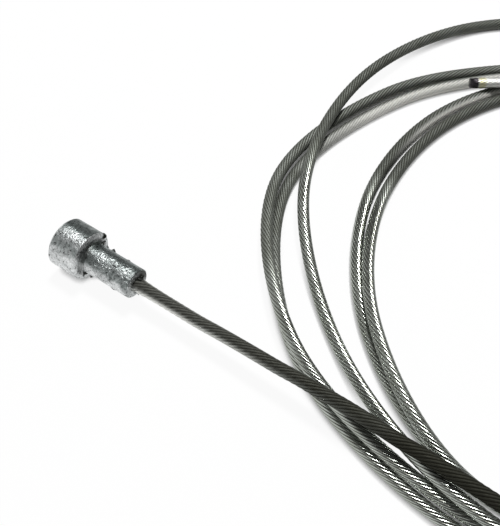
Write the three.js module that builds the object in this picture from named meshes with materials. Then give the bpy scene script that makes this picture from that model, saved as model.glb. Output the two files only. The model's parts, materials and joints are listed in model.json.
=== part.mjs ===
// Bicycle brake inner cable: a die-cast zinc head on a steel strand, lying on a table with the
// strand in five loose turns. Millimetres, +Z up, the table at Z = 0. The origin is below the
// middle of the whole cable, on the table.
import * as THREE from "three";

// Strand
const CABLE_D = 1.6;
const SECTION_SIDES = 8;
const STEP = 3 * CABLE_D;
const FACE_GAP = 0.3;
const SAMPLES_PER_POINT = 40;

// Head: a wide disc that the lever holds, and a neck around the strand
const HEAD_D = 6.4;
const HEAD_WIDE = 4.3;
const NECK_D = 3.9;
const NECK_LENGTH = 7.1;
const EDGE_CHAMFER = 0.25;
const ROOT_FILLET = 0.3;
const SEAT_CLEARANCE = 0.1;
const SEAT_END_WALL = 1.5;
const ROUND_SEGMENTS = 48;

// Where the head lies, and which way its axis points along the table, in degrees
const HEAD_END_X = -23.1;
const HEAD_END_Y = 1.3;
const HEAD_TURN = -33.7;

// Lead: the straight stretch from the head onto the coil, X, Y and height, chosen by hand
const LEAD_POINTS = [
  [-10.8, -6.9, 3.2],
  [-8.4, -8.5, 3.2],
  [-5.9, -10.2, 3.3],
  [-3.5, -11.7, 3.4],
  [-1.1, -13.3, 3.6],
  [1.1, -14.8, 3.8],
  [3.2, -16.2, 3.9],
  [5.4, -17.6, 4.1],
  [7.6, -19.1, 4.2],
  [10.3, -20.9, 4.4],
  [13.0, -22.8, 4.5],
  [15.5, -24.6, 4.5],
  [18.3, -26.4, 4.5],
];

// Coil: each turn runs anticlockwise and has a point every 30 degrees. "out" is the distance
// from the coil's centre and "up" is the height of the strand's middle above the table.
const COIL_X = 50;
const COIL_Y = 0;
const TURN_STEP = 30;
const LEAD_JOINS = 225;
const TURN_START = 105;
const T = CABLE_D / 2;
const FLAT = [T, T, T, T, T, T, T, T, T, T, T, T];
const TURNS = [
  {
    from: LEAD_JOINS,
    out: [40.5, 40.6, 39.6, 37.9, 36.2, 36.2, 38.2, 42.6],
    up: [4.6, 4.4, 3.6, 1.5, T, T, T, T],
  },
  {
    from: TURN_START,
    out: [46.3, 45.5, 44.1, 41.5, 41.6, 41.5, 37.8, 34.3, 32.6, 32.6, 32.8, 33.5],
    up: [T, 2.4, 2.7, T, 3.15, 2.5, 1.4, T, T, T, T, T],
  },
  {
    from: TURN_START,
    out: [34.2, 39.4, 46.4, 46.6, 43.9, 42.4, 39.5, 36.1, 34.4, 34.4, 34.6, 35.3],
    up: FLAT,
  },
  {
    from: TURN_START,
    out: [35.9, 41.8, 48.0, 46.7, 42.4, 40.4, 36.0, 32.5, 30.8, 30.8, 31.0, 31.4],
    up: [T, T, 1.6, 2.7, 1.7, T, T, T, T, T, T, T],
  },
  {
    from: TURN_START,
    out: [32.3, 33.8, 35.6, 37.4, 38.9, 37.2, 33.3, 30.7, 29.0, 29.0, 29.2, 29.6],
    up: FLAT,
  },
  {
    from: TURN_START,
    out: [30.5, 31.7, 33.7, 36.6, 39.4, 38.0, 34.1, 31.5, 29.9, 29.7, 29.6, 29.7],
    up: [T, T, 1.1, 2.4, 2.6, 2.4, 2.4, 2.4, 2.4, 2.4, 2.5, 2.5],
  },
  {
    from: TURN_START,
    out: [31.0],
    up: [2.6],
  },
];
const TIP_POINT = [32.6, 29.9, 2.4];

const zinc = new THREE.MeshStandardMaterial({ color: 0xa9abab, roughness: 0.5, metalness: 0.9 });
const steel = new THREE.MeshStandardMaterial({ color: 0x8d8e88, roughness: 0.32, metalness: 1 });

const headLength = HEAD_WIDE + NECK_LENGTH;
const headAxis = new THREE.Vector3(1, 0, 0).applyAxisAngle(
  new THREE.Vector3(0, 0, 1),
  THREE.MathUtils.degToRad(HEAD_TURN),
);
const headEnd = new THREE.Vector3(HEAD_END_X, HEAD_END_Y, HEAD_D / 2);

// A point on the head's axis, so far from its flat end
function onHeadAxis(distance) {
  return headEnd.clone().addScaledVector(headAxis, distance);
}

// The cast head, turned about its axis, with the seat that the strand is cast into
function headGeometry() {
  const wide = HEAD_D / 2;
  const neck = NECK_D / 2;
  const seat = CABLE_D / 2 + SEAT_CLEARANCE;
  const fillet = new THREE.Path();
  fillet.absarc(neck + ROOT_FILLET, HEAD_WIDE + ROOT_FILLET, ROOT_FILLET, -Math.PI / 2, -Math.PI, true);
  const profile = [
    new THREE.Vector2(0, 0),
    new THREE.Vector2(wide - EDGE_CHAMFER, 0),
    new THREE.Vector2(wide, EDGE_CHAMFER),
    new THREE.Vector2(wide, HEAD_WIDE - EDGE_CHAMFER),
    new THREE.Vector2(wide - EDGE_CHAMFER, HEAD_WIDE),
    ...fillet.getPoints(4),
    new THREE.Vector2(neck, headLength - EDGE_CHAMFER),
    new THREE.Vector2(neck - EDGE_CHAMFER, headLength),
    new THREE.Vector2(seat, headLength),
    new THREE.Vector2(seat, SEAT_END_WALL),
    new THREE.Vector2(0, SEAT_END_WALL),
  ];
  return new THREE.LatheGeometry(profile, ROUND_SEGMENTS);
}

// Every point that the strand's middle passes through, from inside the head to the free tip
function routePoints() {
  const seatBottom = SEAT_END_WALL + FACE_GAP;
  const seatMiddle = (seatBottom + headLength) / 2;
  const points = [onHeadAxis(seatBottom), onHeadAxis(seatMiddle), onHeadAxis(headLength)];
  for (const [x, y, z] of LEAD_POINTS) {
    points.push(new THREE.Vector3(x, y, z));
  }
  const leadCount = points.length;
  for (const turn of TURNS) {
    turn.out.forEach((out, index) => {
      const angle = THREE.MathUtils.degToRad(turn.from + index * TURN_STEP);
      const x = COIL_X + out * Math.cos(angle);
      const y = COIL_Y + out * Math.sin(angle);
      points.push(new THREE.Vector3(x, y, turn.up[index]));
    });
  }
  points.push(new THREE.Vector3(...TIP_POINT));
  return { points, leadCount };
}

// A stretch of a longer curve between two distances along it, never lower than on the table
class Stretch extends THREE.Curve {
  constructor(whole, from, to) {
    super();
    this.whole = whole;
    this.from = from / whole.getLength();
    this.to = to / whole.getLength();
  }

  getPoint(t, target = new THREE.Vector3()) {
    this.whole.getPointAt(THREE.MathUtils.lerp(this.from, this.to, t), target);
    target.z = Math.max(target.z, T);
    return target;
  }
}

// The round strand along a stretch, as a tube that is closed at both ends
function strandGeometry(whole, from, to) {
  const section = new THREE.Shape();
  for (let side = 0; side < SECTION_SIDES; side += 1) {
    const angle = (2 * Math.PI * side) / SECTION_SIDES;
    const x = (CABLE_D / 2) * Math.cos(angle);
    const y = (CABLE_D / 2) * Math.sin(angle);
    if (side === 0) section.moveTo(x, y);
    else section.lineTo(x, y);
  }
  section.closePath();
  return new THREE.ExtrudeGeometry(section, {
    steps: Math.round((to - from) / STEP),
    bevelEnabled: false,
    extrudePath: new Stretch(whole, from, to),
  });
}

const { points, leadCount } = routePoints();
const route = new THREE.CatmullRomCurve3(points, false, "centripetal");
route.arcLengthDivisions = (points.length - 1) * SAMPLES_PER_POINT;
const lengths = route.getLengths();
const leadLength = lengths[leadCount * SAMPLES_PER_POINT];
const fullLength = lengths[lengths.length - 1];

const cable = new THREE.Group();

const head = new THREE.Mesh(headGeometry(), zinc);
head.name = "cast_head";
head.position.copy(headEnd);
head.quaternion.setFromUnitVectors(new THREE.Vector3(0, 1, 0), headAxis);
cable.add(head);

const lead = new THREE.Mesh(strandGeometry(route, 0, leadLength - FACE_GAP / 2), steel);
lead.name = "strand_lead";
cable.add(lead);

const coil = new THREE.Mesh(strandGeometry(route, leadLength + FACE_GAP / 2, fullLength), steel);
coil.name = "strand_coil";
cable.add(coil);

// Puts the origin on the table, below the middle of the cable
cable.updateMatrixWorld(true);
const box = new THREE.Box3().setFromObject(cable, true);
const middle = box.getCenter(new THREE.Vector3());
cable.position.set(-middle.x, -middle.y, -box.min.z);

export default cable;
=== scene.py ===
"""A bicycle brake inner cable on a white table: a twisted steel strand, loosely coiled, with a cast head.

Everything is in metres, in the frame of the CAD part: +Z up, with the table at Z = 0.
"""
import json
import math

import bpy
import numpy as np
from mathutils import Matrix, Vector, noise


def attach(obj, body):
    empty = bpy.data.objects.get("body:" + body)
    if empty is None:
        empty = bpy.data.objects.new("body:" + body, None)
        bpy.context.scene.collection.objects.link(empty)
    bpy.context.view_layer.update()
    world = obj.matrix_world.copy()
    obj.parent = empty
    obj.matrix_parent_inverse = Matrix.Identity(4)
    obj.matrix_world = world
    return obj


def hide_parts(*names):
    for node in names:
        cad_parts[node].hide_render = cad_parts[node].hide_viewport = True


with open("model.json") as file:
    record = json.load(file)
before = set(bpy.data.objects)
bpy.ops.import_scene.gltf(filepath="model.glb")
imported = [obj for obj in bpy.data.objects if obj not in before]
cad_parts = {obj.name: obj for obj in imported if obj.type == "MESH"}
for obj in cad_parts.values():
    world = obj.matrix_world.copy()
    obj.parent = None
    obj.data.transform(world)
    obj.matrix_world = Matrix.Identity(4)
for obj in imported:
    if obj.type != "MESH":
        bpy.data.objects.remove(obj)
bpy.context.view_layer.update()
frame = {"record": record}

# The camera stands in front of the cable and looks down on it. The image is taken as 500 by 526 pixels.
IMAGE_HEIGHT = 526
FOCAL_PIXELS = 694
SENSOR = 36.0
CAMERA_ELEVATION = math.radians(58)
CAMERA_DISTANCE = 0.089

# Strand: 19 wires, of which the 12 outer ones show
CABLE_D = 0.0016
WIRE_COUNT = 12
WIRE_D = 0.00032
LAY_LENGTH = 0.0100
RING_STEP = 0.0008
# Each outer wire's outline, flattened by drawing, as (share of its half width, depth below its crest)
WIRE_OUTLINE = [(-1.0, 0.00009), (-0.64, 0.000024), (0.0, 0.0), (0.64, 0.000024)]
# The wires spread a little where they leave the head
FLARE = 0.28
FLARE_LENGTH = 0.0014
# At the tip they are fused into a plain round bar, and its colours are placed along the reach
FUSED_LENGTH = 0.0014
FUSED_RADIUS = CABLE_D / 2 - WIRE_D / 4
TIP_REACH = 0.004

# How dark and dull the strand is made, as (distance along it, share): painted shade with a duller surface,
# on stretches without highlights
SHADE_AND_DULLNESS = [
    (0.010, 0.05),
    (0.026, 0.35),
    (0.045, 1.0),
    (0.060, 1.0),
    (0.070, 0.0),
    (0.150, 0.0),
    (0.165, 0.57),
    (0.258, 0.60),
    (0.266, 0.0),
    (0.400, 0.0),
    (0.415, 0.57),
    (0.514, 0.53),
    (0.522, 0.0),
    (0.640, 0.0),
    (0.655, 0.57),
    (0.735, 0.53),
    (0.764, 0.50),
    (0.773, 0.0),
    (0.880, 0.0),
    (0.895, 0.57),
    (0.972, 0.66),
    (0.979, 0.0),
    (1.095, 0.0),
    (1.110, 0.57),
    (1.178, 0.66),
    (1.185, 0.0),
]
# The lead's upper side is painted dark and dull from the head on, as painted shade. The shade starts where
# the surface faces up by the slant, of which 1 is straight up, is full a blend higher, and fades along the
# strand past the end.
LEAD_TOP_SHADE = 0.93
LEAD_TOP_SHADE_SLANT = 0.40
LEAD_TOP_SHADE_BLEND = 0.30
LEAD_TOP_SHADE_END = 0.060
LEAD_TOP_SHADE_FADE = 0.005
# The stretches painted light, as painted highlights and reflections, as (distance along the strand, share,
# how far back round the strand it reaches, from -1 at its front to 1 at its back). Behind that the strand
# is painted dark, as painted shade.
PAINTED_LIGHT_STRETCHES = [
    (0.016, 0.85, 2.0),
    (0.034, 0.0, 2.0),
    (0.435, 0.0, 0.72),
    (0.450, 1.0, 0.72),
    (0.484, 1.0, 0.72),
    (0.500, 0.0, 0.72),
    (0.938, 0.0, 0.25),
    (0.945, 1.0, 0.25),
    (0.962, 1.0, 0.25),
    (0.970, 0.0, 0.25),
    (1.340, 0.0, 2.0),
    (1.345, 0.8, 2.0),
    (1.360, 0.8, 2.0),
]
PAINTED_LIGHT_BLEND = 0.3
PAINTED_BACK_SHADE = 0.64
TOWARDS_BACK = np.array((0.0, math.sin(CAMERA_ELEVATION), math.cos(CAMERA_ELEVATION)))

# Head, measured from its flat end
HEAD_D = 0.0064
HEAD_WIDE = 0.0043
NECK_D = 0.0039
NECK_LENGTH = 0.0071
HEAD_LENGTH = HEAD_WIDE + NECK_LENGTH
HEAD_BEVEL = 0.00022
END_BEVEL = 0.00015
ROOT_FILLET = 0.0003
SEAT_RADIUS = CABLE_D / 2 + 0.00002
SEAT_BOTTOM = 0.0018
# The zinc that rises round the strand at the neck's end, as (distance past that end, radius)
MOUTH = [(0.0, 0.00115), (0.0003, 0.00098), (0.0008, 0.00085)]
OUTLINE_STEP = 0.00009
POINTS_AROUND_HEAD = 224
CREASE_ANGLE = math.radians(15)
# Its rough skin: low waves with a fine grain on them. The seat's points, the last of the outline,
# stay smooth.
SEAT_POINTS = 3
WAVE_SCALE = 900
WAVE_HEIGHT = 0.000009
GRAIN_SCALE = 3600
GRAIN_HEIGHT = 0.000004

# How light the zinc is painted round the wide part and round the neck, as (degrees from the top, share):
# painted light and shade
WIDE_PAINTED_SHADING = [
    (-180, 0.6),
    (-135, 0.6),
    (-117, 1.0),
    (-52, 1.0),
    (-38, 0.6),
    (-26, 0.66),
    (-16, 0.84),
    (6, 0.70),
    (18, 0.22),
    (42, 0.26),
    (60, 0.55),
    (180, 0.6),
]
NECK_PAINTED_SHADING = [
    (-180, 0.6),
    (-135, 0.5),
    (-117, 1.0),
    (-66, 1.0),
    (-50, 0.5),
    (-30, 0.45),
    (-15, 0.62),
    (4, 0.50),
    (18, 0.20),
    (45, 0.25),
    (58, 0.5),
    (180, 0.6),
]
# How far the skin's waves move the edges of the painted light and shade round the head, in degrees
SHADING_WANDER = 14
# The neck's end face is painted evenly light, and the bevels, the step and the flat end are painted a
# little lighter, as painted highlights, except for the flat end's middle. A point counts as on a face
# within the face's depth.
FACE_DEPTH = 0.00005
FACE_SHADING = 0.85
BEVEL_LIGHT = 0.92
CENTRE_SHADING = 0.7

# Where the neck's skin is crinkled like foil, with painted glints on its fold lines, round it in the same
# way and along it from the flat end
CRINKLES_AND_GLINTS = [(-90, 0.0), (-62, 1.0), (8, 1.0), (28, 0.0)]
CRINKLES_AND_GLINTS_ALONG = [(HEAD_WIDE + 0.0010, 0.0), (HEAD_WIDE + 0.0022, 1.0)]

# Flash: thin ragged zinc squeezed out where the mould's halves met, painted dark as painted shade, as
# (distance from the flat end, angle round the head from the top in degrees, height, spread)
FLASH = [
    (0.0043, 66, 0.00030, 0.00030),
    (0.0045, 68, 0.00065, 0.00026),
    (0.0048, 60, 0.00030, 0.00020),
    (0.0054, 70, 0.00020, 0.00016),
    (0.0063, 70, 0.00032, 0.00017),
    (0.0066, 68, 0.00018, 0.00012),
    (0.0088, 70, 0.00010, 0.00018),
    (0.0046, -112, 0.00070, 0.00024),
    (0.0050, -106, 0.00030, 0.00020),
    (0.0057, -112, 0.00034, 0.00020),
    (0.0091, -112, 0.00010, 0.00030),
    (0.0115, 62, 0.00034, 0.00022),
    (0.0117, 20, 0.00018, 0.00018),
    (0.0117, -60, 0.00020, 0.00018),
    (0.0118, -110, 0.00045, 0.00022),
    (0.0122, -118, 0.00025, 0.00016),
]
# The corner between the head and its neck is painted a little dark, as painted shade
ROOT_DARK = 0.16
ROOT_DARK_LENGTH = 0.0004
ROOT_DARK_RADIUS = 0.0026
# The zinc at the mouth rises round the strand on this side only and is painted dark there, as painted
# shade, and the neck's end face is painted faintly dark beside it
MOUTH_DARK_SIDE = math.radians(65)
END_FACE_DARK = 0.4

# Where the head's flat end lies in the coordinates of the route
HEAD_END_ON_ROUTE = Vector((-0.0231, 0.0013, HEAD_D / 2))

# Lead: the straight stretch from the head onto the coil, given point by point
LEAD_POINTS = [
    (-0.0108, -0.0069, 0.0032),
    (-0.0084, -0.0085, 0.0032),
    (-0.0059, -0.0102, 0.0033),
    (-0.0035, -0.0117, 0.0034),
    (-0.0011, -0.0133, 0.0036),
    (0.0011, -0.0148, 0.0038),
    (0.0032, -0.0162, 0.0039),
    (0.0054, -0.0176, 0.0041),
    (0.0076, -0.0191, 0.0042),
    (0.0103, -0.0209, 0.0044),
    (0.0130, -0.0228, 0.0045),
    (0.0155, -0.0246, 0.0045),
    (0.0183, -0.0264, 0.0045),
]

# Coil: each turn runs anticlockwise and has a point every 30 degrees. The first list is the distance
# from the coil's centre, and the second the height of the strand's middle above the table. T is that
# height where the strand lies on the table.
COIL_CENTRE = (0.050, 0.0)
TURN_STEP = 30
LEAD_JOINS = 225
TURN_START = 105
T = CABLE_D / 2
TURNS = [
    (
        LEAD_JOINS,
        [0.0405, 0.0406, 0.0396, 0.0379, 0.0362, 0.0362, 0.0382, 0.0426],
        [0.0046, 0.0044, 0.0036, 0.0015, T, T, T, T],
    ),
    (
        TURN_START,
        [0.0463, 0.0455, 0.0441, 0.0415, 0.0416, 0.0415, 0.0378, 0.0343, 0.0326, 0.0326, 0.0328, 0.0335],
        [T, 0.0024, 0.0027, T, 0.00315, 0.0025, 0.0014, T, T, T, T, T],
    ),
    (
        TURN_START,
        [0.0342, 0.0394, 0.0464, 0.0466, 0.0439, 0.0424, 0.0395, 0.0361, 0.0344, 0.0344, 0.0346, 0.0353],
        [T] * 12,
    ),
    (
        TURN_START,
        [0.0359, 0.0418, 0.0480, 0.0467, 0.0424, 0.0404, 0.0360, 0.0325, 0.0308, 0.0308, 0.0310, 0.0314],
        [T, T, 0.0016, 0.0027, 0.0017, T, T, T, T, T, T, T],
    ),
    (
        TURN_START,
        [0.0323, 0.0338, 0.0356, 0.0374, 0.0389, 0.0372, 0.0333, 0.0307, 0.0290, 0.0290, 0.0292, 0.0296],
        [T] * 12,
    ),
    (
        TURN_START,
        [0.0305, 0.0317, 0.0337, 0.0366, 0.0394, 0.0380, 0.0341, 0.0315, 0.0299, 0.0297, 0.0296, 0.0297],
        [T, T, 0.0011, 0.0024, 0.0026, 0.0024, 0.0024, 0.0024, 0.0024, 0.0024, 0.0025, 0.0025],
    ),
    (
        TURN_START,
        [0.0310],
        [0.0026],
    ),
]
TIP_POINT = (0.0326, 0.0299, 0.0024)

# The head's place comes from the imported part's mount on its flat end
head_mount = next(m for m in frame["record"]["mounts"] if m["name"] == "head_end")
HEAD_END = Vector(head_mount["pos_m"])
HEAD_AXIS = -Vector(head_mount["axis"]).normalized()
HEAD_UP = Vector((0, 0, 1))
HEAD_SIDE = HEAD_UP.cross(HEAD_AXIS)
ROUTE_ORIGIN = HEAD_END - HEAD_END_ON_ROUTE

# Table, and the lamp above it
TABLE_HALF_SIZE = 3.0
SHADOW_REACH = 0.0016
LAMP_DIRECTION = Vector((0.089, 0.330, 0.940))
LAMP_DISTANCE = 0.60
LAMP_SIZE = 0.12
LAMP_POWER = 3.6


def add_camera():
    """The camera, at the photograph's viewing angle."""
    data = bpy.data.cameras.new("camera")
    data.sensor_width = SENSOR
    data.lens = SENSOR * FOCAL_PIXELS / IMAGE_HEIGHT
    data.clip_start = 0.001
    data.clip_end = 50
    camera = bpy.data.objects.new("camera", data)
    bpy.context.scene.collection.objects.link(camera)
    back = Vector((0, -math.cos(CAMERA_ELEVATION), math.sin(CAMERA_ELEVATION)))
    camera.location = ROUTE_ORIGIN + back * CAMERA_DISTANCE
    camera.rotation_mode = "QUATERNION"
    camera.rotation_quaternion = (-back).to_track_quat("-Z", "Y")
    bpy.context.scene.camera = camera


def route_points():
    """Every point that the strand's middle passes through, from inside the head to the free tip."""
    on_axis = [SEAT_BOTTOM, (SEAT_BOTTOM + HEAD_LENGTH) / 2, HEAD_LENGTH]
    points = [HEAD_END + HEAD_AXIS * distance for distance in on_axis]
    points += [ROUTE_ORIGIN + Vector(point) for point in LEAD_POINTS]
    for start, outs, ups in TURNS:
        for index, (out, up) in enumerate(zip(outs, ups)):
            angle = math.radians(start + index * TURN_STEP)
            x = COIL_CENTRE[0] + out * math.cos(angle)
            y = COIL_CENTRE[1] + out * math.sin(angle)
            points.append(ROUTE_ORIGIN + Vector((x, y, up)))
    points.append(ROUTE_ORIGIN + Vector(TIP_POINT))
    return np.array(points)


def smooth_curve(points, samples=40):
    """A centripetal Catmull-Rom curve through the points, never lower than the strand on the table."""
    first = 2 * points[0] - points[1]
    last = 2 * points[-1] - points[-2]
    padded = np.vstack([first, points, last])
    steps = np.arange(samples)[:, None] / samples
    parts = []
    for p0, p1, p2, p3 in zip(padded, padded[1:], padded[2:], padded[3:]):
        d0, d1, d2 = (np.linalg.norm(b - a) ** 0.5 for a, b in ((p0, p1), (p1, p2), (p2, p3)))
        t1 = ((p1 - p0) / d0 - (p2 - p0) / (d0 + d1) + (p2 - p1) / d1) * d1
        t2 = ((p2 - p1) / d1 - (p3 - p1) / (d1 + d2) + (p3 - p2) / d2) * d1
        square = -3 * p1 + 3 * p2 - 2 * t1 - t2
        cube = 2 * p1 - 2 * p2 + t1 + t2
        parts.append(p1 + t1 * steps + square * steps**2 + cube * steps**3)
    curve = np.vstack([*parts, points[-1:]])
    curve[:, 2] = np.maximum(curve[:, 2], T)
    return curve


def even_steps(curve, step):
    """Points at even distances along a curve, and those distances."""
    pieces = np.linalg.norm(np.diff(curve, axis=0), axis=1)
    along = np.concatenate([[0], np.cumsum(pieces)])
    count = round(along[-1] / step)
    distances = np.linspace(0, along[-1], count + 1)
    points = np.stack([np.interp(distances, along, curve[:, k]) for k in range(3)], axis=1)
    return points, distances


def untwisted_frames(points):
    """Two directions across the path at each point, carried along it without twist."""
    tangents = np.gradient(points, axis=0)
    tangents /= np.linalg.norm(tangents, axis=1)[:, None]
    normal = np.cross(tangents[0], (0, 0, 1))
    normals = []
    for tangent in tangents:
        normal = normal - tangent * np.dot(normal, tangent)
        normal /= np.linalg.norm(normal)
        normals.append(normal)
    normals = np.array(normals)
    return normals, np.cross(tangents, normals)


def add_tube(name, rings, start, end, material):
    """A smooth closed tube through rings of points, with a fan at each end to the start and end points."""
    count, around = rings.shape[:2]
    ring = np.arange(count - 1)[:, None] * around
    here = np.arange(around)[None, :]
    after = (here + 1) % around
    quads = np.stack([ring + here, ring + after, ring + around + after, ring + around + here], axis=-1)
    faces = quads.reshape(-1, 4).tolist()
    start_index = count * around
    last_ring = (count - 1) * around
    for k in range(around):
        after = (k + 1) % around
        faces.append((start_index, after, k))
        faces.append((start_index + 1, last_ring + k, last_ring + after))
    return make_object(name, np.vstack([rings.reshape(-1, 3), start, end]), faces, material)


def make_object(name, vertices, faces, material):
    """A smooth-shaded mesh object."""
    mesh = bpy.data.meshes.new(name)
    mesh.from_pydata(vertices.tolist(), [], faces)
    mesh.polygons.foreach_set("use_smooth", [True] * len(mesh.polygons))
    mesh.materials.append(material)
    mesh.update()
    made = bpy.data.objects.new(name, mesh)
    bpy.context.scene.collection.objects.link(made)
    return made


def add_attribute(tube, name, values, start=0, end=0):
    """A number for each point of a tube's rings and for its two end points, which the material reads."""
    attribute = tube.data.attributes.new(name, "FLOAT", "POINT")
    numbers = np.concatenate([values.ravel(), [start, end]])
    attribute.data.foreach_set("value", numbers.astype(np.float32))


def mark_sharp_edges(made, choose):
    """Makes those edges sharp that choose picks from the vertices at their two ends."""
    edges = np.zeros(len(made.data.edges) * 2, dtype=np.int64)
    made.data.edges.foreach_get("vertices", edges)
    first, second = edges.reshape(-1, 2).T
    made.data.edges.foreach_set("use_edge_sharp", choose(first, second))


def between(values, table):
    """The shares in a table of (place, share), in between its places too."""
    places, shares = zip(*table)
    return np.interp(values, places, shares)


class Nodes:
    """Short calls for building a material's or the world's nodes."""

    def __init__(self, tree):
        self.tree = tree
        self.tree.nodes.clear()

    def add(self, kind, inputs=(), **settings):
        node = self.tree.nodes.new(kind)
        for key, value in settings.items():
            setattr(node, key, value)
        for socket, value in dict(inputs).items():
            self.put(node.inputs[socket], value)
        return node

    def put(self, socket, value):
        if isinstance(value, bpy.types.NodeSocket):
            self.tree.links.new(value, socket)
        else:
            socket.default_value = value

    def attribute(self, name):
        return self.add("ShaderNodeAttribute", attribute_name=name).outputs["Fac"]

    def noise(self, place, scale, detail=4.0, roughness=0.55, distortion=0.0):
        inputs = {
            "Vector": place,
            "Scale": scale,
            "Detail": detail,
            "Roughness": roughness,
            "Distortion": distortion,
        }
        return self.add("ShaderNodeTexNoise", inputs).outputs["Fac"]

    def ramp(self, value, stops):
        """Numbers or colours between stops of (position, value)."""
        node = self.add("ShaderNodeValToRGB", {"Fac": value})
        elements = node.color_ramp.elements
        while len(elements) < len(stops):
            elements.new(1.0)
        for element, (position, colour) in zip(elements, stops):
            element.position = position
            element.color = (*colour, 1.0) if isinstance(colour, tuple) else (colour, colour, colour, 1.0)
        return node.outputs["Color"]

    def mix(self, factor, first, second, blend="MIX"):
        node = self.add("ShaderNodeMix", data_type="RGBA", blend_type=blend)
        self.put(node.inputs[0], factor)
        self.put(node.inputs[6], first)
        self.put(node.inputs[7], second)
        return node.outputs[2]

    def multiply(self, first, second):
        return self.mix(1.0, first, second, blend="MULTIPLY")

    def math(self, operation, first, second, clamp=False):
        node = self.add("ShaderNodeMath", operation=operation, use_clamp=clamp)
        self.put(node.inputs[0], first)
        self.put(node.inputs[1], second)
        return node.outputs[0]

    def bump(self, height, distance, strength, normal=None):
        node = self.add("ShaderNodeBump", {"Height": height, "Distance": distance, "Strength": strength})
        if normal is not None:
            self.put(node.inputs["Normal"], normal)
        return node.outputs["Normal"]

    def metal(self, colour, roughness, normal):
        """A bare metal surface, joined to the material's output."""
        shader = self.add(
            "ShaderNodeBsdfPrincipled",
            {"Base Color": colour, "Metallic": 1.0, "Roughness": roughness, "Normal": normal},
        )
        self.add("ShaderNodeOutputMaterial", {"Surface": shader.outputs[0]})


def new_material(name):
    material = bpy.data.materials.new(name)
    material.use_nodes = True
    return material, Nodes(material.node_tree)


def steel_material():
    """Drawn steel wires, bright on their crests, with their grooves darkened by oil and painted shade."""
    material, nodes = new_material("steel_strand")
    place = nodes.add("ShaderNodeTexCoord").outputs["Object"]
    groove = nodes.attribute("groove")
    from_tip = nodes.attribute("from_tip")
    shade_and_dullness = nodes.attribute("shade_and_dullness")
    painted_light = nodes.attribute("painted_light")

    patches = nodes.noise(place, 420, detail=3)
    lightness = nodes.ramp(patches, [(0.35, (0.36, 0.385, 0.345)), (0.65, (0.47, 0.50, 0.465))])
    # The grooves between the wires are darker: oil together with painted shade
    fine = nodes.noise(place, 5200, detail=2)
    oil_and_groove_shade = nodes.ramp(fine, [(0.3, (0.085, 0.083, 0.066)), (0.75, (0.17, 0.165, 0.14))])
    groove_oil_and_shade = nodes.ramp(groove, [(0.12, 0.0), (0.9, 1.0)])
    steel = nodes.mix(groove_oil_and_shade, lightness, oil_and_groove_shade)

    # Some stretches are painted darker and browner as painted shade and made duller, and others are painted
    # bright as painted highlights
    dull = nodes.mix(groove_oil_and_shade, (0.050, 0.050, 0.040, 1.0), (0.025, 0.024, 0.017, 1.0))
    steel = nodes.mix(shade_and_dullness, steel, dull)
    steel = nodes.mix(painted_light, steel, (0.82, 0.82, 0.79, 1.0))

    # The wires are fused at the tip: a cut face painted dark as painted shade, then a straw-yellow collar
    straw = nodes.ramp(from_tip, [(0.26, 0.0), (0.34, 0.8), (0.48, 0.8), (0.60, 0.0)])
    steel = nodes.mix(straw, steel, (0.55, 0.52, 0.30, 1.0))
    cut_shade = nodes.ramp(from_tip, [(0.24, 1.0), (0.32, 0.0)])
    steel = nodes.mix(cut_shade, steel, (0.05, 0.045, 0.05, 1.0))

    rough = nodes.ramp(nodes.noise(place, 2600, detail=3), [(0.3, 0.17), (0.75, 0.30)])
    rough = nodes.math("ADD", rough, nodes.math("MULTIPLY", groove_oil_and_shade, 0.14), clamp=True)
    matt = nodes.math("MINIMUM", nodes.math("MULTIPLY", shade_and_dullness, 0.85), 0.50)
    rough = nodes.math("ADD", rough, matt, clamp=True)
    rough = nodes.math("ADD", rough, nodes.math("MULTIPLY", painted_light, 0.2), clamp=True)
    nodes.metal(steel, rough, nodes.bump(fine, 0.00002, 0.18))
    return material


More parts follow.
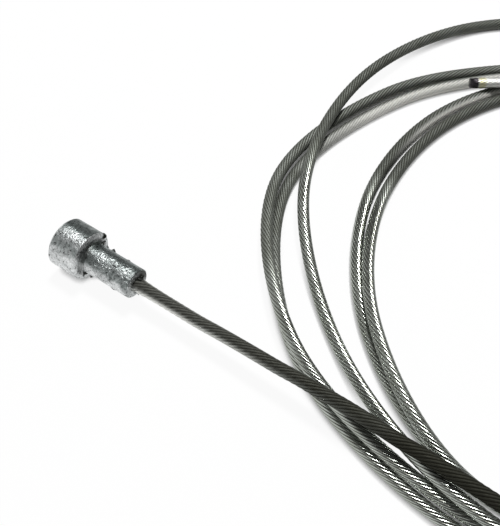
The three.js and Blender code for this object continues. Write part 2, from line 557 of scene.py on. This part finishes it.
def zinc_material():
    """As-cast zinc: mottled silver grey with brighter patches, dark pits and crinkles, with painted light
    and shade on it.
    """
    material, nodes = new_material("cast_zinc")
    place = nodes.add("ShaderNodeTexCoord").outputs["Object"]
    flash_and_shade = nodes.attribute("flash_and_shade")
    lightness = nodes.attribute("lightness")
    crinkled_and_glinting = nodes.attribute("crinkled_and_glinting")

    broad = nodes.noise(place, 520, detail=4, roughness=0.6, distortion=0.6)
    shades = [(0.34, (0.44, 0.46, 0.455)), (0.5, (0.68, 0.70, 0.70)), (0.64, (0.90, 0.92, 0.92))]
    zinc = nodes.ramp(broad, shades)
    specks = nodes.noise(place, 2800, detail=5, roughness=0.7)
    pits = nodes.ramp(specks, [(0.36, 1.0), (0.46, 0.0)])
    zinc = nodes.mix(pits, zinc, (0.08, 0.08, 0.08, 1.0))
    grain = nodes.noise(place, 6500, detail=3, roughness=0.6)
    zinc = nodes.multiply(zinc, nodes.ramp(grain, [(0.36, 0.70), (0.58, 1.0)]))

    # Painted shade is darker and a little greener
    zinc = nodes.multiply(zinc, lightness)
    zinc = nodes.multiply(zinc, nodes.ramp(lightness, [(0.25, (0.90, 1.0, 0.97)), (0.9, (1.0, 1.0, 1.0))]))

    folds = nodes.noise(place, 420, detail=1, distortion=3.2)
    fold_lines_and_glints = nodes.ramp(folds, [(0.40, 0.0), (0.50, 1.0), (0.55, 0.0)])
    fold_lines_and_glints = nodes.math("MULTIPLY", fold_lines_and_glints, crinkled_and_glinting)
    # Painted glints: the fold lines are painted lighter
    zinc = nodes.mix(nodes.math("MULTIPLY", fold_lines_and_glints, 0.32), zinc, (0.66, 0.68, 0.68, 1.0))
    # Painted shade: near black at the flash, at the root and at the mouth
    zinc = nodes.mix(nodes.ramp(flash_and_shade, [(0.06, 0.0), (0.3, 1.0)]), zinc, (0.035, 0.037, 0.033, 1.0))

    rough = nodes.ramp(broad, [(0.3, 0.50), (0.7, 0.36)])
    rough_skin = nodes.bump(specks, 0.00006, 0.7)
    creased = nodes.bump(fold_lines_and_glints, 0.00005, 0.8, rough_skin)
    waves = nodes.noise(place, 1700, detail=4, distortion=1.5)
    nodes.metal(zinc, rough, nodes.bump(waves, 0.00010, 0.55, creased))
    return material


def strand_section():
    """The points of the strand's section: their radius, angle and depth as a share of a groove's."""
    wire_ring = CABLE_D / 2 - WIRE_D / 2
    half_width = wire_ring * math.tan(math.pi / WIRE_COUNT)
    sideways = np.tile([share * half_width for share, depth in WIRE_OUTLINE], WIRE_COUNT)
    depth = np.tile([depth for share, depth in WIRE_OUTLINE], WIRE_COUNT)
    outward = CABLE_D / 2 - depth
    wire_angle = np.repeat(np.arange(WIRE_COUNT) * 2 * math.pi / WIRE_COUNT, len(WIRE_OUTLINE))
    return np.hypot(outward, sideways), wire_angle + np.arctan2(sideways, outward), depth / depth.max()


def shade_and_painted_light(distances, outwards):
    """How much painted shade with dullness, and how much painted light, the strand gets at each point, by
    place along it and direction out of it.
    """
    on_lead = np.interp(distances, [LEAD_TOP_SHADE_END, LEAD_TOP_SHADE_END + LEAD_TOP_SHADE_FADE], [1, 0])[:, None]
    facing_up = np.clip((outwards[:, :, 2] - LEAD_TOP_SHADE_SLANT) / LEAD_TOP_SHADE_BLEND, 0, 1)
    top_shade = LEAD_TOP_SHADE * facing_up * on_lead
    places, shares, reaches = zip(*PAINTED_LIGHT_STRETCHES)
    painted_light = np.interp(distances, places, shares)[:, None]
    reach = np.interp(distances, places, reaches)[:, None]
    front = np.clip((reach - outwards @ TOWARDS_BACK) / PAINTED_LIGHT_BLEND, 0, 1)
    back_shade = PAINTED_BACK_SHADE * np.minimum(painted_light, 1 - front)
    shade_and_dullness = np.maximum(between(distances, SHADE_AND_DULLNESS)[:, None], back_shade)
    return np.maximum(shade_and_dullness, top_shade), painted_light * front * (1 - top_shade)


def add_strand():
    """The whole strand as one tube whose section is the 12 outer wires, twisted left-handed."""
    centres, distances = even_steps(smooth_curve(route_points()), RING_STEP)
    across, upward = untwisted_frames(centres)
    radius, angle, groove = strand_section()
    from_tip = distances[-1] - distances
    fused = np.clip(1 - from_tip / FUSED_LENGTH, 0, 1)[:, None]
    fused = fused * fused * (3 - 2 * fused)
    from_head = distances - (HEAD_LENGTH - SEAT_BOTTOM)
    flare = np.where(from_head >= 0, FLARE * np.exp(-from_head / FLARE_LENGTH), 0)[:, None]
    radii = (radius * (1 - fused) + FUSED_RADIUS * fused) * (1 + flare)
    angles = (angle - (2 * math.pi / LAY_LENGTH) * distances[:, None])[:, :, None]
    outwards = across[:, None, :] * np.cos(angles) + upward[:, None, :] * np.sin(angles)
    rings = centres[:, None, :] + outwards * radii[:, :, None]
    strand = add_tube("steel_strand", rings, centres[0], centres[-1], steel_material())

    # Crisp lines where neighbouring wires meet
    around = len(radius)
    ends_from = len(centres) * around

    def in_groove(first, second):
        on_one_line = (first % around == second % around) & (first % len(WIRE_OUTLINE) == 0)
        return on_one_line & (first < ends_from) & (second < ends_from)

    mark_sharp_edges(strand, in_groove)

    # Painted shade with dullness, and painted light, by place along the strand and direction out of it
    shade_and_dullness, painted_light = shade_and_painted_light(distances, outwards)
    near_tip = np.minimum(from_tip / TIP_REACH, 1)
    add_attribute(strand, "groove", groove * (1 - fused))
    add_attribute(strand, "from_tip", np.repeat(near_tip, around), start=1)
    add_attribute(strand, "shade_and_dullness", shade_and_dullness)
    add_attribute(strand, "painted_light", painted_light)

    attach(strand, "root")
    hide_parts("strand_lead", "strand_coil")


def head_outline():
    """The head's outline as (distance from its flat end, distance from its axis).

    It starts at the middle of the flat end. Its last points are the seat inside the head, from the
    mouth's inner edge to the middle of the seat's bottom.
    """
    wide = HEAD_D / 2
    neck = NECK_D / 2
    corners = [
        (0.0, 0.0),
        (0.0, wide - HEAD_BEVEL),
        (HEAD_BEVEL, wide),
        (HEAD_WIDE - HEAD_BEVEL, wide),
        (HEAD_WIDE, wide - HEAD_BEVEL),
        (HEAD_WIDE, neck + ROOT_FILLET),
        (HEAD_WIDE + ROOT_FILLET * 0.3, neck + ROOT_FILLET * 0.3),
        (HEAD_WIDE + ROOT_FILLET, neck),
        (HEAD_LENGTH - END_BEVEL, neck),
        (HEAD_LENGTH, neck - END_BEVEL),
    ]
    corners += [(HEAD_LENGTH + rise, radius) for rise, radius in MOUTH]
    corners.append((HEAD_LENGTH + MOUTH[-1][0], SEAT_RADIUS))
    outline = [np.array(corners[0])]
    for start, end in zip(corners, corners[1:]):
        start, end = np.array(start), np.array(end)
        count = max(1, math.ceil(np.linalg.norm(end - start) / OUTLINE_STEP))
        outline += [start + (end - start) * (k + 1) / count for k in range(count)]
    outline += [np.array((SEAT_BOTTOM, SEAT_RADIUS)), np.array((SEAT_BOTTOM, 0.0))]
    return np.array(outline)


def head_directions(angles):
    """The head's axis, and the directions straight out from it at these angles from the top."""
    axis, up, side = (np.array(v) for v in (HEAD_AXIS, HEAD_UP, HEAD_SIDE))
    return axis, up * np.cos(angles)[:, None] + side * np.sin(angles)[:, None]


def head_skin(outline, angles, place):
    """The rough skin's height, how light it is painted as painted light and shade, and how crinkled it is,
    at each point of the head.
    """
    height = np.zeros(place.shape[:2])
    lightness = np.ones(place.shape[:2])
    turned = (np.degrees(angles) + 180) % 360 - 180
    along = outline[:, 0]
    for row in range(1, len(outline) - SEAT_POINTS):
        shading = WIDE_PAINTED_SHADING if along[row] <= HEAD_WIDE else NECK_PAINTED_SHADING
        for column, degrees in enumerate(turned):
            spot = Vector(place[row, column])
            waves = noise.fractal(spot * WAVE_SCALE, 1.0, 2.0, 3)
            grain = noise.fractal(spot * GRAIN_SCALE + Vector((7, 3, 5)), 0.8, 2.1, 3)
            height[row, column] = waves * WAVE_HEIGHT + grain * GRAIN_HEIGHT
            lightness[row, column] = between(degrees + SHADING_WANDER * waves, shading)

    # Painted light on the two end faces and the bevels
    for face in (0, HEAD_LENGTH):
        lightness[np.abs(along - face) < FACE_DEPTH] = FACE_SHADING
    lit_bevel_rows = (along <= HEAD_BEVEL) | ((along >= HEAD_WIDE - HEAD_BEVEL) & (along <= HEAD_WIDE))
    lightness[lit_bevel_rows] = np.maximum(lightness[lit_bevel_rows], BEVEL_LIGHT)
    crinkled_and_glinting = between(turned, CRINKLES_AND_GLINTS) * between(along, CRINKLES_AND_GLINTS_ALONG)[:, None]
    crinkled_and_glinting[-SEAT_POINTS:] = 0
    return height, lightness, crinkled_and_glinting


def head_flash(outline, angles, place):
    """The flash's height, and how dark the zinc is painted there, at the root and at the mouth, as painted
    shade, at each point of the head.
    """
    height = np.zeros(place.shape[:2])
    dark = np.zeros(place.shape[:2])
    along, radius = outline.T
    axis, spokes = head_directions(np.radians([degrees for _, degrees, _, _ in FLASH]))
    for spoke, (distance, _, tall, spread) in zip(spokes, FLASH):
        near = np.argmin(np.abs(along[:-SEAT_POINTS] - distance))
        centre = axis * along[near] + spoke * radius[near]
        lump = np.exp(-((np.linalg.norm(place - centre, axis=2) / spread) ** 2))
        height += lump * tall
        dark = np.maximum(dark, lump)

    # Painted shade in the corner at the root
    root = (along >= HEAD_WIDE) & (along < HEAD_WIDE + ROOT_DARK_LENGTH) & (radius < ROOT_DARK_RADIUS)
    dark[root] = np.maximum(dark[root], ROOT_DARK)

    # A little more than half of the mouth is painted dark as painted shade, and a narrower part of the end
    # face
    on_dark_side = np.clip(0.1 + np.cos(angles - MOUTH_DARK_SIDE), 0, 1)
    mouth = along > HEAD_LENGTH
    dark[mouth] = on_dark_side
    height[mouth] -= (1 - on_dark_side) * (radius[mouth, None] - CABLE_D / 2).clip(0)
    end_face = np.abs(along - HEAD_LENGTH) < FACE_DEPTH
    dark[end_face] = END_FACE_DARK * np.clip(on_dark_side - 0.25, 0, 1)
    return height, dark


def add_head():
    """The cast head with its bevels, rough skin and flash, and the seat that holds the strand."""
    outline = head_outline()
    slope = np.gradient(outline, axis=0)
    slope /= np.linalg.norm(slope, axis=1)[:, None]
    angles = np.arange(POINTS_AROUND_HEAD) * 2 * math.pi / POINTS_AROUND_HEAD
    axis, spokes = head_directions(angles)
    place = axis * outline[:, :1, None] + spokes * outline[:, 1:, None]
    outwards = spokes * slope[:, :1, None] - axis * slope[:, 1:, None]

    skin, lightness, crinkled_and_glinting = head_skin(outline, angles, place)
    flash_and_shade, dark = head_flash(outline, angles, place)
    height = skin + flash_and_shade
    height[-SEAT_POINTS:] = 0
    points = np.array(HEAD_END) + place + outwards * height[:, :, None]
    head = add_tube("cast_head_zinc", points[1:-1], points[0, 0], points[-1, 0], zinc_material())

    # Crisp edges where the outline turns
    turn = np.sum(slope[1:] * slope[:-1], axis=1)
    corner_rows = np.flatnonzero(turn < math.cos(CREASE_ANGLE))

    def on_corner(first, second):
        first_row = first // len(angles) + 1
        return (first_row == second // len(angles) + 1) & np.isin(first_row, corner_rows)

    mark_sharp_edges(head, on_corner)
    # Painted shade, painted light and shade, and the crinkles with their painted glints, for the material
    add_attribute(head, "flash_and_shade", dark[1:-1])
    add_attribute(head, "lightness", lightness[1:-1], start=CENTRE_SHADING, end=CENTRE_SHADING)
    add_attribute(head, "crinkled_and_glinting", crinkled_and_glinting[1:-1])
    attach(head, "root")
    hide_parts("cast_head")


def add_table():
    """A plain table that stays white to the camera and in reflections, with soft shadows by the cable."""
    size = TABLE_HALF_SIZE
    vertices = np.array([(-size, -size, 0), (size, -size, 0), (size, size, 0), (-size, size, 0)])
    material, nodes = new_material("white_table")
    path = nodes.add("ShaderNodeLightPath").outputs
    seen = nodes.math("MAXIMUM", path["Is Camera Ray"], path["Is Glossy Ray"])
    seen = nodes.math("MAXIMUM", seen, path["Is Transmission Ray"])
    open_sky = nodes.add("ShaderNodeAmbientOcclusion", {"Distance": SHADOW_REACH}, samples=16).outputs["AO"]
    in_the_open = nodes.ramp(open_sky, [(0.25, 0.0), (0.52, 0.48), (0.73, 0.94)])
    lit = nodes.add("ShaderNodeBsdfDiffuse", {"Color": (0.90, 0.90, 0.90, 1)})
    white = nodes.add("ShaderNodeEmission", {"Color": (1.0, 1.0, 1.0, 1), "Strength": 1.0})
    surface = nodes.add("ShaderNodeMixShader", {"Fac": nodes.math("MULTIPLY", seen, in_the_open)})
    nodes.put(surface.inputs[1], lit.outputs[0])
    nodes.put(surface.inputs[2], white.outputs[0])
    nodes.add("ShaderNodeOutputMaterial", {"Surface": surface.outputs[0]})
    make_object("table", vertices, [(0, 1, 2, 3)], material)


def add_lamp():
    """A strong lamp high above, towards the back and a little to the right."""
    data = bpy.data.lights.new("key", "AREA")
    data.shape = "DISK"
    data.size = LAMP_SIZE
    data.energy = LAMP_POWER
    lamp = bpy.data.objects.new("key", data)
    bpy.context.scene.collection.objects.link(lamp)
    away = LAMP_DIRECTION.normalized()
    lamp.location = away * LAMP_DISTANCE
    lamp.rotation_mode = "QUATERNION"
    lamp.rotation_quaternion = away.to_track_quat("Z", "Y")


def add_room():
    """A dim room, lighter low down, with a bright window at the left."""
    world = bpy.data.worlds.new("room")
    world.use_nodes = True
    nodes = Nodes(world.node_tree)
    direction = nodes.add("ShaderNodeTexCoord").outputs["Generated"]
    parts = nodes.add("ShaderNodeSeparateXYZ", {"Vector": direction}).outputs
    walls = nodes.ramp(parts["Z"], [(0.0, 0.35), (0.12, 0.20), (0.35, 0.09), (1.0, 0.07)])
    leftward = nodes.math("MULTIPLY", parts["X"], -1.0)
    window = nodes.ramp(leftward, [(0.55, 0.0), (0.90, 1.0)])
    colour = nodes.mix(window, walls, (0.95, 0.95, 0.95, 1.0))
    background = nodes.add("ShaderNodeBackground", {"Color": colour, "Strength": 1.0})
    nodes.add("ShaderNodeOutputWorld", {"Surface": background.outputs[0]})
    bpy.context.scene.world = world


add_camera()
add_strand()
add_head()
add_table()
add_lamp()
add_room()
bpy.context.scene.view_settings.view_transform = "Standard"
